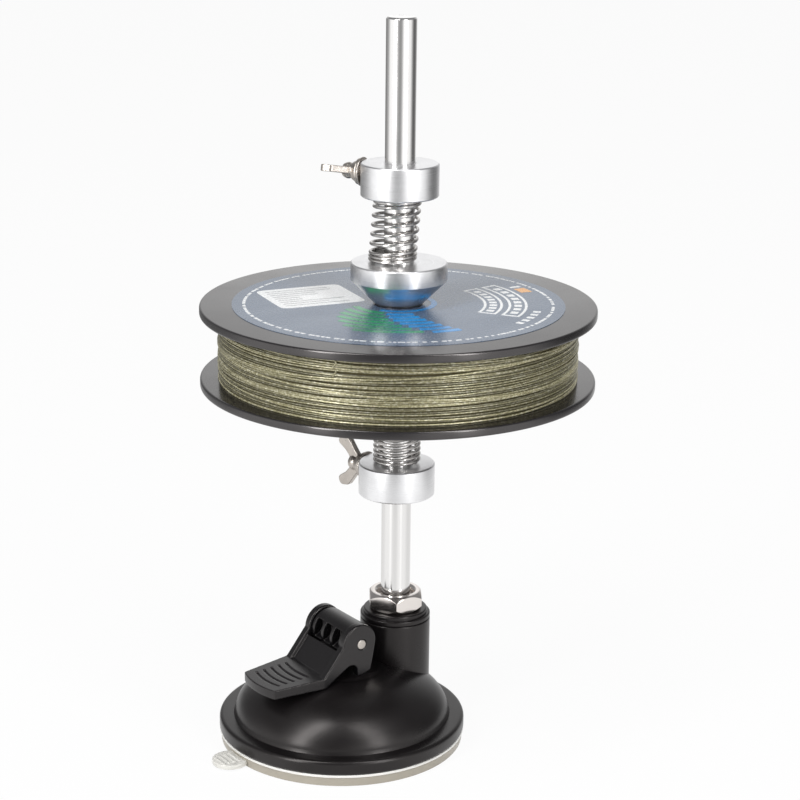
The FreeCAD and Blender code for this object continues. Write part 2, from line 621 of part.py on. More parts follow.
# ---- spool ----------------------------------------------------------------------
def spool_flange(z_low, mouth_up):
    """Disc with chamfered rims and a chamfered bore mouth on its outer face."""
    z_high = z_low + FLANGE_T
    disc = chamfered_ring(FLANGE_R, BORE_R, z_low, z_high, FLANGE_CHAMFER)
    face_z = z_high if mouth_up else z_low
    depth = (MOUTH_R - BORE_R) / math.tan(math.radians(CONE_ANGLE))
    mouth_z = face_z - depth if mouth_up else face_z + depth
    return disc.cut(turned([(0, face_z), (MOUTH_R, face_z), (BORE_R, mouth_z), (0, mouth_z)]))


def spool_hub():
    """Drum that the line is wound on, with a bored core and ribs between them."""
    z_low = spool_z + FLANGE_T
    z_high = spool_top_z - FLANGE_T
    drum_bore = DRUM_R - DRUM_WALL
    core_r = BORE_R + CORE_WALL
    hub = turned([(drum_bore, z_low), (DRUM_R, z_low), (DRUM_R, z_high), (drum_bore, z_high)])
    hub = hub.fuse(turned([(BORE_R, z_low), (core_r, z_low), (core_r, z_high), (BORE_R, z_high)]))
    rib_start = Vector(core_r - CORE_RIB_SINK, -CORE_RIB_T / 2, z_low)
    for index in range(CORE_RIBS):
        rib = Part.makeBox(drum_bore - core_r + 2 * CORE_RIB_SINK, CORE_RIB_T, z_high - z_low, rib_start)
        rib.rotate(ORIGIN, Z_AXIS, 360 * index / CORE_RIBS)
        hub = hub.fuse(rib)
    return hub


def line_winding():
    """Braided line, wound solid between the flanges."""
    z_low = spool_z + FLANGE_T
    z_high = spool_top_z - FLANGE_T
    return chamfered_ring(LINE_R, DRUM_R, z_low, z_high, LINE_CROWN)


def spool_label():
    """Printed disc on the upper flange."""
    label = cylinder(LABEL_R, spool_top_z, spool_top_z + LABEL_T)
    return label.cut(cylinder(LABEL_BORE_R, spool_top_z, spool_top_z + LABEL_T))


# ---- all sub-parts --------------------------------------------------------------
export(suction_pad(), "suction_pad")
export(base_housing(), "base_housing")
export(tower_cap(), "tower_cap")
export(rod_ferrule(), "rod_ferrule")
export(lock_nut(), "lock_nut")
export(spool_rod(), "spool_rod")
export(pull_stem(), "pull_stem")
export(lever_pin(), "lever_pin")
export(cam_lever(), "cam_lever")
export(collar(lower_collar_z, LOWER_SCREW_AZIMUTH), "lower_collar")
export(wing_screw(lower_collar_z, LOWER_SCREW_AZIMUTH, LOWER_SCREW_ROLL), "lower_wing_screw")
export(spring(lower_spring_z, LOWER_SPRING_LEN), "lower_spring")
export(cone(lower_disc_z, True), "lower_cone")
export(spool_hub(), "spool_hub")
export(spool_flange(spool_z, False), "lower_flange")
export(spool_flange(spool_top_z - FLANGE_T, True), "upper_flange")
export(line_winding(), "line_winding")
export(spool_label(), "spool_label")
export(cone(upper_disc_z + DISC_H, False), "upper_cone")
export(spring(upper_spring_z, UPPER_SPRING_LEN), "upper_spring")
export(collar(upper_collar_z, UPPER_SCREW_AZIMUTH), "upper_collar")
export(wing_screw(upper_collar_z, UPPER_SCREW_AZIMUTH, UPPER_SCREW_ROLL), "upper_wing_screw")
print(f"hinge {hinge_z:.3f} lower screw {lower_collar_z + SCREW_RISE:.3f}"
      f" upper screw {upper_collar_z + SCREW_RISE:.3f} rod top {rod_top_z:.3f}")
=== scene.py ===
"""Looks of the fishing line winder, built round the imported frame.

Metres, +Z up along the rod. MM turns the millimetre sizes written here into metres.
"""
import json
import math
import random

import bmesh
import bpy
from mathutils import Matrix, Vector


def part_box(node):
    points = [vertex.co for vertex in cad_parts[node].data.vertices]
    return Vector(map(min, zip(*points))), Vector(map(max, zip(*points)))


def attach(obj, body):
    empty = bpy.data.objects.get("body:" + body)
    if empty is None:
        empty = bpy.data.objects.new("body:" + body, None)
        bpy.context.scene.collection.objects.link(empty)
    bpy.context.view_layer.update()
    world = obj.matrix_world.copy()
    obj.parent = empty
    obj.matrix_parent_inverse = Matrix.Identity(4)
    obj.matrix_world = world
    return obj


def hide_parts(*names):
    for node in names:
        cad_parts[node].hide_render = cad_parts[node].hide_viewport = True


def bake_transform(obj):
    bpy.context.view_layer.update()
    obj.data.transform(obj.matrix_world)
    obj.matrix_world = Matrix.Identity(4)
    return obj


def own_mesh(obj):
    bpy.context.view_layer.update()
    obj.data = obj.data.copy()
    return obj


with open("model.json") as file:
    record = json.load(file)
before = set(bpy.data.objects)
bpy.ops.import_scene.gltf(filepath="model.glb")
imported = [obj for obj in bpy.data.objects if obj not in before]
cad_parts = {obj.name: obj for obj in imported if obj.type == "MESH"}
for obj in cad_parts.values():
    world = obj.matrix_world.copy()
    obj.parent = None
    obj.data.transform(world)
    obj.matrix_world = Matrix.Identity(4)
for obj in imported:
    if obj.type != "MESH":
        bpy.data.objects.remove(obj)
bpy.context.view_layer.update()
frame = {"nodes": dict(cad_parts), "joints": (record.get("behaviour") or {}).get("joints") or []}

MM = 0.001
TINY = 1e-7
UP = Vector((0, 0, 1))
WHITE = (1, 1, 1, 1)
scene = bpy.context.scene

# ---- places and sizes taken from the frame ----------------------------------------
low = {name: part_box(name)[0] for name in frame["nodes"]}
high = {name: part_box(name)[1] for name in frame["nodes"]}
joints = {joint["name"]: joint for joint in frame["joints"]}


def half_width(node):
    return (high[node].y - low[node].y) / 2


ROD_R = half_width("spool_rod")
RIM_R = half_width("base_housing")
FOOT_X = low["base_housing"].x + RIM_R
PAD_TOP = low["base_housing"].z
TOWER_TOP = low["tower_cap"].z
CAP_TOP = high["tower_cap"].z
FERRULE_R = half_width("rod_ferrule")
FERRULE_LOW = low["rod_ferrule"].z
FERRULE_TOP = high["rod_ferrule"].z
TOWER_R = half_width("tower_cap")
COLLAR_R = half_width("upper_collar")
DISC_R = half_width("upper_cone")
FLANGE_R = half_width("upper_flange")
LINE_R = half_width("line_winding")
LABEL_R = half_width("spool_label")
LABEL_TOP = high["spool_label"].z
HINGE = Vector(joints["lever_hinge"]["pos_m"])

# ---- the photograph's view --------------------------------------------------------
VIEW_AZIMUTH = math.radians(-35.0)
CAMERA_LEFT = Vector((-math.cos(VIEW_AZIMUTH), -math.sin(VIEW_AZIMUTH)))
CAMERA_PLACE = Vector((-0.32175, -0.45951, 0.25608))
CAMERA_PITCH = 0.2840
CAMERA_YAW = 0.0012
CAMERA_ROLL = 0.0116
CAMERA_LENS = 98.525
SENSOR_WIDTH = 36
NEAR_CLIP = 0.01


def linked(name, data):
    """A new object in the scene."""
    thing = bpy.data.objects.new(name, data)
    scene.collection.objects.link(thing)
    return thing


def make_camera():
    """Camera that looks at the winder from the front left, a little from above."""
    forward = Vector((math.sin(CAMERA_YAW) * math.cos(CAMERA_PITCH),
                      math.cos(CAMERA_YAW) * math.cos(CAMERA_PITCH), -math.sin(CAMERA_PITCH)))
    right = Vector((math.cos(CAMERA_YAW), -math.sin(CAMERA_YAW), 0))
    up = right.cross(forward)
    turned_right = right * math.cos(CAMERA_ROLL) + up * math.sin(CAMERA_ROLL)
    turned_up = up * math.cos(CAMERA_ROLL) - right * math.sin(CAMERA_ROLL)
    axes = Matrix((turned_right, turned_up, -forward)).transposed()
    turn = Matrix.Rotation(VIEW_AZIMUTH, 4, "Z")
    camera = linked("camera", bpy.data.cameras.new("camera"))
    camera.data.lens = CAMERA_LENS
    camera.data.sensor_width = SENSOR_WIDTH
    camera.data.clip_start = NEAR_CLIP
    camera.matrix_world = Matrix.Translation(CAMERA_PLACE) @ turn @ axes.to_4x4()
    scene.camera = camera


# ---- node helpers -----------------------------------------------------------------
class Nodes:
    """A material's or world's node tree, with short calls for its nodes."""

    def __init__(self, owner):
        owner.use_nodes = True
        self.tree = owner.node_tree
        self.tree.nodes.clear()

    def add(self, kind, inputs=None, **settings):
        """New node; each input gets a value, or a link when a socket is given."""
        node = self.tree.nodes.new(kind)
        for key, value in settings.items():
            setattr(node, key, value)
        for key, value in (inputs or {}).items():
            if isinstance(value, bpy.types.NodeSocket):
                self.tree.links.new(value, node.inputs[key])
            else:
                node.inputs[key].default_value = value
        return node

    def math(self, operation, first, second=0.0):
        return self.add("ShaderNodeMath", {0: first, 1: second}, operation=operation).outputs[0]

    def ramp(self, factor, stops):
        """Straight colour ramp; each stop is (place, grey) or (place, (r, g, b))."""
        node = self.add("ShaderNodeValToRGB", {0: factor})
        node.color_ramp.interpolation = "LINEAR"
        elements = node.color_ramp.elements
        while len(elements) < len(stops):
            elements.new(0.5)
        for element, (place, shade) in zip(elements, stops):
            element.position = place
            colour = shade if isinstance(shade, tuple) else (shade, shade, shade)
            element.color = (*colour, 1)
        return node.outputs[0]

    def noise(self, vector, scale, detail, roughness=0.5):
        inputs = {"Vector": vector, "Scale": scale, "Detail": detail, "Roughness": roughness}
        return self.add("ShaderNodeTexNoise", inputs).outputs[0]

    def mix(self, factor, first, second, blend="MIX"):
        """Blend of two colours."""
        inputs = {0: factor, 6: first, 7: second}
        return self.add("ShaderNodeMix", inputs, data_type="RGBA", blend_type=blend).outputs[2]

    def mix_shaders(self, factor, first, second):
        return self.add("ShaderNodeMixShader", {0: factor, 1: first, 2: second}).outputs[0]

    def glow(self, kind, colour):
        """Emission or background of full strength."""
        return self.add(kind, {"Color": colour, "Strength": 1.0}).outputs[0]

    def stretched(self, vector, scale):
        return self.add("ShaderNodeMapping", {"Vector": vector, "Scale": scale}).outputs[0]

    def place(self):
        return self.add("ShaderNodeTexCoord").outputs["Object"]

    def radius_and_height(self):
        """(distance from the rod's axis, height) as a vector, for marks turned round it."""
        x, y, z = self.add("ShaderNodeSeparateXYZ", {0: self.place()}).outputs
        squares = self.math("ADD", self.math("MULTIPLY", x, x), self.math("MULTIPLY", y, y))
        radius = self.math("SQRT", squares)
        return self.add("ShaderNodeCombineXYZ", {0: radius, 1: z}).outputs[0]

    def bump(self, height, distance):
        inputs = {"Height": height, "Distance": distance, "Strength": 1.0}
        return self.add("ShaderNodeBump", inputs).outputs[0]

    def output(self, shader, kind="ShaderNodeOutputMaterial"):
        self.tree.links.new(shader, self.add(kind).inputs[0])

    def surface(self, **inputs):
        """Principled surface; an underscore in an input's name stands for a space."""
        names = {key.replace("_", " "): value for key, value in inputs.items()}
        self.output(self.add("ShaderNodeBsdfPrincipled", names).outputs[0])


def new_material(name):
    material = bpy.data.materials.new(name)
    return material, Nodes(material)


def scaled(colour, factor):
    return tuple(min(1.0, factor * part) for part in colour)


# ---- materials --------------------------------------------------------------------
def moulded_plastic(name, base, roughness, grain, shine):
    """Satin moulded plastic with a fine grain and faint flow marks."""
    material, nodes = new_material(name)
    place = nodes.place()
    flow = nodes.noise(place, scale=60.0, detail=3.0)
    fine = nodes.noise(place, scale=3600.0, detail=3.0)
    colour = nodes.ramp(flow, [(0.3, scaled(base, 0.85)), (0.7, scaled(base, 1.2))])
    gloss = nodes.ramp(flow, [(0.3, roughness - 0.03), (0.7, roughness + 0.05)])
    nodes.surface(Base_Color=colour, Roughness=gloss, Specular_IOR_Level=shine,
                  Specular_Tint=(1.0, 0.95, 0.93, 1), Normal=nodes.bump(fine, grain))
    return material


def turned_metal(name, base, roughness, marks, depth):
    """Turned metal: fine tool marks round the axis, on the ends and the sides alike."""
    material, nodes = new_material(name)
    tool_path = nodes.stretched(nodes.radius_and_height(), (marks, marks, marks))
    lines = nodes.noise(tool_path, scale=1.0, detail=3.0, roughness=0.6)
    cloud = nodes.noise(nodes.place(), scale=220.0, detail=3.0)
    colour = nodes.ramp(cloud, [(0.3, scaled(base, 0.94)), (0.7, scaled(base, 1.03))])
    gloss = nodes.ramp(lines, [(0.3, roughness - 0.05), (0.7, roughness + 0.08)])
    nodes.surface(Base_Color=colour, Metallic=1.0, Roughness=gloss,
                  Normal=nodes.bump(lines, depth))
    return material


def polished_steel(name, base, roughness):
    """Ground and polished bar: faint rings from the grinding and small smudges."""
    material, nodes = new_material(name)
    grinding = nodes.stretched(nodes.radius_and_height(), (4000.0, 4000.0, 1.0))
    rings = nodes.noise(grinding, scale=1.0, detail=2.0)
    smudge = nodes.noise(nodes.place(), scale=130.0, detail=4.0)
    gloss = nodes.ramp(smudge, [(0.35, roughness), (0.7, roughness + 0.07)])
    nodes.surface(Base_Color=(*base, 1), Metallic=1.0, Roughness=gloss,
                  Normal=nodes.bump(rings, 0.6e-6))
    return material


def cast_metal(name, base, roughness, lumps):
    """Cast and plated metal with a softly uneven skin."""
    material, nodes = new_material(name)
    place = nodes.place()
    skin = nodes.noise(place, scale=900.0, detail=3.0)
    cloud = nodes.noise(place, scale=260.0, detail=2.0)
    colour = nodes.ramp(cloud, [(0.3, scaled(base, 0.8)), (0.7, base)])
    gloss = nodes.ramp(skin, [(0.3, roughness), (0.7, roughness + 0.14)])
    nodes.surface(Base_Color=colour, Metallic=1.0, Roughness=gloss,
                  Normal=nodes.bump(skin, lumps))
    return material


def braid(name, lift):
    """Olive braided line: its light flecks where the plaits turn are painted highlights, with
    painted shade between; lift scales it, above 1 for a painted lit copy, below 1 for a painted
    shaded copy.
    """
    # the ramp's tones run from painted shade up to a painted highlight
    tones = [(0.34, (0.20, 0.182, 0.102)), (0.52, (0.36, 0.334, 0.205)),
             (0.74, (0.68, 0.66, 0.55))]
    material, nodes = new_material(name)
    place = nodes.place()
    plaits = nodes.stretched(place, (1.0, 1.0, 1.6))
    flecks = nodes.noise(plaits, scale=1300.0, detail=2.0, roughness=0.7)
    patches = nodes.noise(place, scale=70.0, detail=3.0)
    light = nodes.ramp(flecks, [(stop, scaled(tone, lift)) for stop, tone in tones])
    tint = nodes.ramp(patches, [(0.3, (0.82, 0.82, 0.76)), (0.7, (1.0, 1.0, 1.0))])
    nodes.surface(Base_Color=nodes.mix(1.0, light, tint, "MULTIPLY"), Metallic=0.45,
                  Roughness=0.34, Specular_IOR_Level=0.9, Normal=nodes.bump(flecks, 9e-6))
    return material


def label_print(name, near, far):
    """Printed film: an even tone that drifts across the disc, under a clear gloss."""
    material, nodes = new_material(name)
    place = nodes.place()
    drift = nodes.noise(nodes.stretched(place, (1.0, 2.4, 1.0)), scale=26.0, detail=3.0)
    ink = nodes.noise(place, scale=2600.0, detail=1.0)
    colour = nodes.ramp(drift, [(0.35, near), (0.65, far)])
    gloss = nodes.ramp(ink, [(0.3, 0.22), (0.7, 0.30)])
    nodes.surface(Base_Color=colour, Roughness=gloss, Specular_IOR_Level=0.9,
                  Normal=nodes.bump(ink, 1.5e-6))
    return material


def soft_rubber(name, base, roughness):
    """Milky soft PVC with faint clouds and a fine moulded skin."""
    material, nodes = new_material(name)
    place = nodes.place()
    cloud = nodes.noise(place, scale=180.0, detail=3.0)
    fine = nodes.noise(place, scale=2500.0, detail=2.0)
    colour = nodes.ramp(cloud, [(0.3, scaled(base, 0.93)), (0.7, base)])
    nodes.surface(Base_Color=colour, Roughness=roughness, Normal=nodes.bump(fine, 3e-6))
    return material


MATERIALS = {
    "black_plastic": moulded_plastic("black_plastic", (0.0056, 0.0047, 0.0050),
                                     roughness=0.29, grain=9e-6, shine=0.45),
    "lever_plastic": moulded_plastic("lever_plastic", (0.0056, 0.0052, 0.0060),
                                     roughness=0.23, grain=6e-6, shine=0.52),
    "spool_plastic": moulded_plastic("spool_plastic", (0.0070, 0.0064, 0.0078),
                                     roughness=0.19, grain=3e-6, shine=1.0),
    "rod_steel": polished_steel("rod_steel", (0.86, 0.85, 0.84), roughness=0.12),
    "nut_steel": polished_steel("nut_steel", (0.80, 0.755, 0.72), roughness=0.17),
    "turned_aluminium": turned_metal("turned_aluminium", (0.86, 0.86, 0.87),
                                     roughness=0.30, marks=7000.0, depth=3e-6),
    "cast_nickel": cast_metal("cast_nickel", (0.58, 0.535, 0.49), roughness=0.24, lumps=10e-6),
    "spring_steel": cast_metal("spring_steel", (0.66, 0.64, 0.62), roughness=0.14, lumps=2e-6),
    "braided_line": braid("braided_line", lift=1.05),
    # the lifted and the lowered copies of the line are painted light and painted shade
    "braid_painted_lit": braid("braid_painted_lit", lift=1.4),
    "braid_painted_shade": braid("braid_painted_shade", lift=0.55),
    # near-black core under the strands: painted shade between them
    "braid_painted_shadow_core": moulded_plastic("braid_painted_shadow_core", (0.070, 0.060, 0.028),
                                   roughness=0.6, grain=4e-6, shine=0.2),
    "label_film": label_print("label_film", (0.060, 0.098, 0.165), (0.105, 0.145, 0.21)),
    "print_white": label_print("print_white", (0.78, 0.80, 0.80), (0.86, 0.87, 0.87)),
    "print_grey": label_print("print_grey", (0.30, 0.31, 0.32), (0.42, 0.43, 0.44)),
    "print_green": label_print("print_green", (0.005, 0.20, 0.075), (0.02, 0.36, 0.13)),
    "print_blue": label_print("print_blue", (0.004, 0.19, 0.50), (0.01, 0.31, 0.74)),
    "print_orange": label_print("print_orange", (0.78, 0.30, 0.05), (0.86, 0.45, 0.10)),
    # the pad's rubber painted darker as shade, and the lip's paler copy of it: its own pale tone
    # with a painted highlight
    "pad_rubber": soft_rubber("pad_rubber", (0.36, 0.33, 0.275), roughness=0.38),
    "lip_rubber_painted_lit": soft_rubber("lip_rubber_painted_lit", (0.76, 0.75, 0.72), roughness=0.30),
    "tab_rubber": soft_rubber("tab_rubber", (0.66, 0.65, 0.61), roughness=0.34),
}


# ---- outlines and meshes ----------------------------------------------------------
def rounded(corners, steps=5):
    """Outline whose corners (x, y, radius) are rounded; one without radius stays sharp."""
    points = []
    count = len(corners)
    for index, corner in enumerate(corners):
        here = Vector(corner[:2])
        radius = corner[2] if len(corner) > 2 else 0.0
        if radius <= 0:
            points.append(here)
            continue
        before = Vector(corners[index - 1][:2]) - here
        after = Vector(corners[(index + 1) % count][:2]) - here
        half = before.angle(after) / 2
        reach = min(radius / math.tan(half), before.length / 2, after.length / 2)
        start = here + before.normalized() * reach
        end = here + after.normalized() * reach
        for step in range(steps + 1):
            t = step / steps
            points.append(start * (1 - t) ** 2 + here * 2 * t * (1 - t) + end * t ** 2)
    return points


def ellipse_points(radius, base_z, rise, start, end, steps):
    """Points of a dome's outline between two parameter angles in degrees."""
    points = []
    for step in range(steps + 1):
        angle = math.radians(start + (end - start) * step / steps)
        points.append(Vector((radius * math.cos(angle), base_z + rise * math.sin(angle))))
    return points


def circle(bm, radius, z, count, centre_x=0.0):
    """Ring of vertices round the vertical axis at centre_x."""
    angles = [2 * math.pi * i / count for i in range(count)]
    return [bm.verts.new((centre_x + radius * math.cos(a), radius * math.sin(a), z))
            for a in angles]


def join_rings(bm, first, second, material=0):
    """Faces between two rings with the same number of vertices."""
    for k in range(len(first)):
        m = (k + 1) % len(first)
        bm.faces.new((first[k], first[m], second[m], second[k])).material_index = material


def add_lathe(bm, outline, centre_x=0.0, steps=192, material=0):
    """Turn a closed outline of (radius, z) about the vertical axis at centre_x."""
    rings = [circle(bm, radius, z, 1 if radius < TINY else steps, centre_x)
             for radius, z in outline]
    for below, above in zip(rings, rings[1:] + rings[:1]):
        if len(below) == 1 and len(above) == 1:
            continue
        for i in range(steps):
            j = (i + 1) % steps
            corners = [below[i % len(below)], below[j % len(below)],
                       above[j % len(above)], above[i % len(above)]]
            corners = [v for k, v in enumerate(corners) if v not in corners[:k]]
            bm.faces.new(corners).material_index = material
    return bm


def add_tube(bm, path, radius, sides, closed=False, radial=False, material=0):
    """Round tube along points, closed to a ring or with flat ends.

    The section keeps level, which suits near-horizontal coils; a radial one follows the
    direction away from the rod, for a line that lies across the coils.
    """
    rings = []
    count = len(path)
    for index, point in enumerate(path):
        before = path[index - 1] if closed or index else point
        after = path[(index + 1) % count] if closed or index < count - 1 else point
        along = (after - before).normalized()
        if radial:
            outward = Vector((point.x, point.y, 0)).normalized()
            side = along.cross(outward).normalized()
        else:
            outward = along.cross(UP).normalized()
            side = outward.cross(along)
        rings.append([bm.verts.new(point + radius * (outward * math.cos(2 * math.pi * k / sides)
                                                     + side * math.sin(2 * math.pi * k / sides)))
                      for k in range(sides)])
    for first, second in zip(rings, rings[1:] + rings[:1] if closed else rings[1:]):
        join_rings(bm, first, second, material)
    if not closed:
        for end in (rings[0], rings[-1]):
            bm.faces.new(end).material_index = material
    return bm


def add_prism(bm, outline, z_low, z_high, material=0):
    """Straight prism over a closed plan outline."""
    lower = [bm.verts.new((p[0], p[1], z_low)) for p in outline]
    upper = [bm.verts.new((p[0], p[1], z_high)) for p in outline]
    for end in (lower, upper):
        bm.faces.new(end).material_index = material
    join_rings(bm, lower, upper, material)
    return bm


def mesh_of(bm, name="form"):
    """A mesh made from a bmesh, with its faces turned outwards."""
    mesh = bpy.data.meshes.new(name)
    bmesh.ops.recalc_face_normals(bm, faces=bm.faces)
    bm.to_mesh(mesh)
    bm.free()
    return mesh


def lathe_mesh(outline, centre_x=0.0, steps=192):
    return mesh_of(add_lathe(bmesh.new(), outline, centre_x, steps))


def evaluated_mesh(piece):
    """The mesh of a piece with its modifiers applied; the piece itself is removed."""
    graph = bpy.context.evaluated_depsgraph_get()
    mesh = bpy.data.meshes.new_from_object(piece.evaluated_get(graph))
    bpy.data.objects.remove(piece)
    return mesh


def combined(first, second, operation="UNION"):
    """Boolean of two meshes."""
    piece, tool = linked("operand", first), linked("operand", second)
    modifier = piece.modifiers.new("boolean", "BOOLEAN")
    modifier.operation = operation
    modifier.solver = "EXACT"
    modifier.object = tool
    mesh = evaluated_mesh(piece)
    bpy.data.objects.remove(tool)
    return mesh


def soft_edged(mesh, voxel, passes):
    """The same closed form remeshed and relaxed, so that every edge is slightly round."""
    piece = linked("form", mesh)
    remesh = piece.modifiers.new("remesh", "REMESH")
    remesh.mode = "VOXEL"
    remesh.voxel_size = voxel
    smooth = piece.modifiers.new("smooth", "SMOOTH")
    smooth.iterations = passes
    return evaluated_mesh(piece)


def moulded_copy(node, voxel, passes):
    """A CAD node's form with softened edges."""
    bm = bmesh.new()
    bm.from_mesh(frame["nodes"][node].data)
    bmesh.ops.remove_doubles(bm, verts=bm.verts, dist=TINY)
    mesh = bpy.data.meshes.new(node + "_form")
    bm.to_mesh(mesh)
    bm.free()
    return soft_edged(mesh, voxel, passes)


def bevelled(mesh, width, segments, angle):
    """The same form with its sharper edges cut to a narrow band that catches the light."""
    merge_distance = 0.02 * MM
    flat_angle = math.radians(0.5)
    bm = bmesh.new()
    bm.from_mesh(mesh)
    bmesh.ops.remove_doubles(bm, verts=bm.verts, dist=merge_distance)
    bmesh.ops.dissolve_limit(bm, angle_limit=flat_angle, verts=bm.verts, edges=bm.edges)
    bm.to_mesh(mesh)
    bm.free()
    piece = linked("form", mesh)
    bevel = piece.modifiers.new("bevel", "BEVEL")
    bevel.width = width
    bevel.segments = segments
    bevel.limit_method = "ANGLE"
    bevel.angle_limit = math.radians(angle)
    return evaluated_mesh(piece)


def new_piece(name, source, materials, body, smooth_angle=32.0):
    """Link a piece made from a bmesh or mesh, shade it and let it ride on its body."""
    mesh = mesh_of(source, name) if isinstance(source, bmesh.types.BMesh) else source
    if mesh.materials:  # clearing an empty list would reset the faces' material indices
        mesh.materials.clear()
    for material in materials:
        mesh.materials.append(MATERIALS[material])
    mesh.shade_smooth()
    mesh.set_sharp_from_angle(angle=math.radians(smooth_angle))
    piece = linked(name, mesh)
    if body:
        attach(piece, body)
    return piece


def lathe_piece(name, outline, material, body, centre_x=0.0, steps=192):
    bm = add_lathe(bmesh.new(), outline, centre_x, steps)
    return new_piece(name, bm, [material], body)


# ---- suction foot -----------------------------------------------------------------
RING_Z = PAD_TOP + 3.8 * MM
DOME_FOOT_R = RIM_R - 4.1 * MM
DOME_RISE = 14.0 * MM
PLATEAU_R = 10.6 * MM
PLATEAU_Z = RING_Z + 13.5 * MM
STEM_WAY_R = 3.75 * MM
STEM_FOOT_ROOM_R = 9.5 * MM
STEM_FOOT_ROOM_TOP = PAD_TOP + 6.5 * MM
CUT_PAST = 1.0 * MM
CAVITY_R = 14.0 * MM
CAVITY_H = 1.9 * MM
PAD_R = 33.0 * MM
LIP_R = PAD_R + 0.2 * MM
LIP_LOW = PAD_TOP - 0.75 * MM
BUTTON_R = 9.0 * MM
BUTTON_TOP = PAD_TOP + 4.6 * MM


def base_shell():
    """Moulded housing: rim, dome and plateau, the rod's tower, and room for the stem inside."""
    rim = [(0, PAD_TOP), (RIM_R - 0.3 * MM, PAD_TOP, 0.2 * MM),
           (RIM_R, PAD_TOP + 0.5 * MM, 0.5 * MM), (RIM_R, RING_Z, 1.2 * MM),
           (DOME_FOOT_R + 0.25 * MM, RING_Z, 0.2 * MM)]
    plateau = [(PLATEAU_R + 1.0 * MM, PLATEAU_Z - 0.4 * MM),
               (PLATEAU_R - 0.4 * MM, PLATEAU_Z, 1.2 * MM), (0, PLATEAU_Z)]
    plateau_angle = math.degrees(math.acos(PLATEAU_R / DOME_FOOT_R))
    dome = ellipse_points(DOME_FOOT_R, RING_Z, DOME_RISE, start=3, end=plateau_angle, steps=40)
    shell = lathe_mesh(rounded(rim, steps=8) + dome + rounded(plateau), FOOT_X, steps=256)
    tower = lathe_mesh(rounded([(0, RING_Z), (TOWER_R, RING_Z), (TOWER_R, TOWER_TOP, 0.45 * MM),
                                (0, TOWER_TOP)]), steps=160)
    hollow_low, hollow_top = PAD_TOP - CUT_PAST, PLATEAU_Z + CUT_PAST
    hollow = lathe_mesh([(0, hollow_low), (STEM_FOOT_ROOM_R, hollow_low),
                         (STEM_FOOT_ROOM_R, STEM_FOOT_ROOM_TOP), (STEM_WAY_R, STEM_FOOT_ROOM_TOP),
                         (STEM_WAY_R, hollow_top), (0, hollow_top)], FOOT_X, steps=96)
    mesh = combined(combined(shell, tower), hollow, "DIFFERENCE")
    piece = new_piece("base_shell", mesh, ["black_plastic"], "base",
                      smooth_angle=28.0)
    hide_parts("base_housing")


def cap_ring():
    """Beaded ring between the tower and the nut."""
    bead_top = TOWER_TOP + 1.45 * MM
    neck_r = TOWER_R - 0.85 * MM
    outline = rounded([(FERRULE_R, TOWER_TOP), (TOWER_R - 0.35 * MM, TOWER_TOP),
                       (TOWER_R - 0.3 * MM, TOWER_TOP + 0.12 * MM),
                       (TOWER_R, TOWER_TOP + 0.2 * MM, 0.3 * MM), (TOWER_R, bead_top, 0.6 * MM),
                       (neck_r, bead_top, 0.1 * MM), (neck_r, CAP_TOP, 0.5 * MM),
                       (FERRULE_R, CAP_TOP)])
    piece = lathe_piece("cap_ring", outline, "black_plastic", "base")
    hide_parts("tower_cap")


def pad_skirt():
    """Outer ring of the suction pad: the lip that shows under the rim keeps the rubber's pale
    tone with a painted highlight, and the skirt below it is painted darker as shade.
    """
    outline = rounded([(CAVITY_R, 0), (PAD_R - 0.25 * MM, 0, 0.3 * MM),
                       (PAD_R, LIP_LOW - 0.15 * MM, 0.2 * MM), (PAD_R - 0.2 * MM, LIP_LOW),
                       (LIP_R, LIP_LOW + 0.1 * MM, 0.15 * MM), (LIP_R, PAD_TOP, 0.2 * MM),
                       (CAVITY_R, PAD_TOP)])
    bm = add_lathe(bmesh.new(), outline, FOOT_X, steps=256)
    # faces on the lip take the paler copy with the painted highlight; those below keep the rubber
    # painted darker as shade
    for face in bm.faces:
        if face.calc_center_median().z > LIP_LOW:
            face.material_index = 1
    piece = new_piece("pad_skirt", bm, ["pad_rubber", "lip_rubber_painted_lit"], "base")
    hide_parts("suction_pad")


def pull_tab():
    """Translucent paddle with cross ribs that lifts the pad's edge."""
    head_r = 4.8 * MM
    neck = 3.3 * MM
    bottom = 0.5 * MM
    top = bottom + 1.3 * MM
    head_x = FOOT_X - PAD_R - 2.4 * MM
    root_x = FOOT_X - PAD_R + 1.0 * MM
    head_steps = 32
    rib_count = 4
    rib_r = 0.35 * MM
    rib_pitch = 1.5 * MM
    rib_inset = 0.5 * MM
    first_rib = 1.35 * MM
    outline = [Vector((root_x, -neck)), Vector((root_x, neck))]
    start = math.asin(neck / head_r)
    for step in range(head_steps + 1):
        angle = start + (2 * math.pi - 2 * start) * step / head_steps
        outline.append(Vector((head_x + head_r * math.cos(angle), head_r * math.sin(angle))))
    bm = add_prism(bmesh.new(), outline, bottom, top)
    for index in range(rib_count):
        x = head_x - head_r + first_rib + rib_pitch * index
        half = min(neck, math.sqrt(max(0.0, head_r ** 2 - (x - head_x) ** 2)))
        reach = half - rib_inset
        add_tube(bm, [Vector((x, -reach, top)), Vector((x, reach, top))], rib_r, sides=12)
    mesh = soft_edged(mesh_of(bm), voxel=0.16 * MM, passes=6)
    new_piece("pull_tab", mesh, ["tab_rubber"], "base", smooth_angle=60.0)


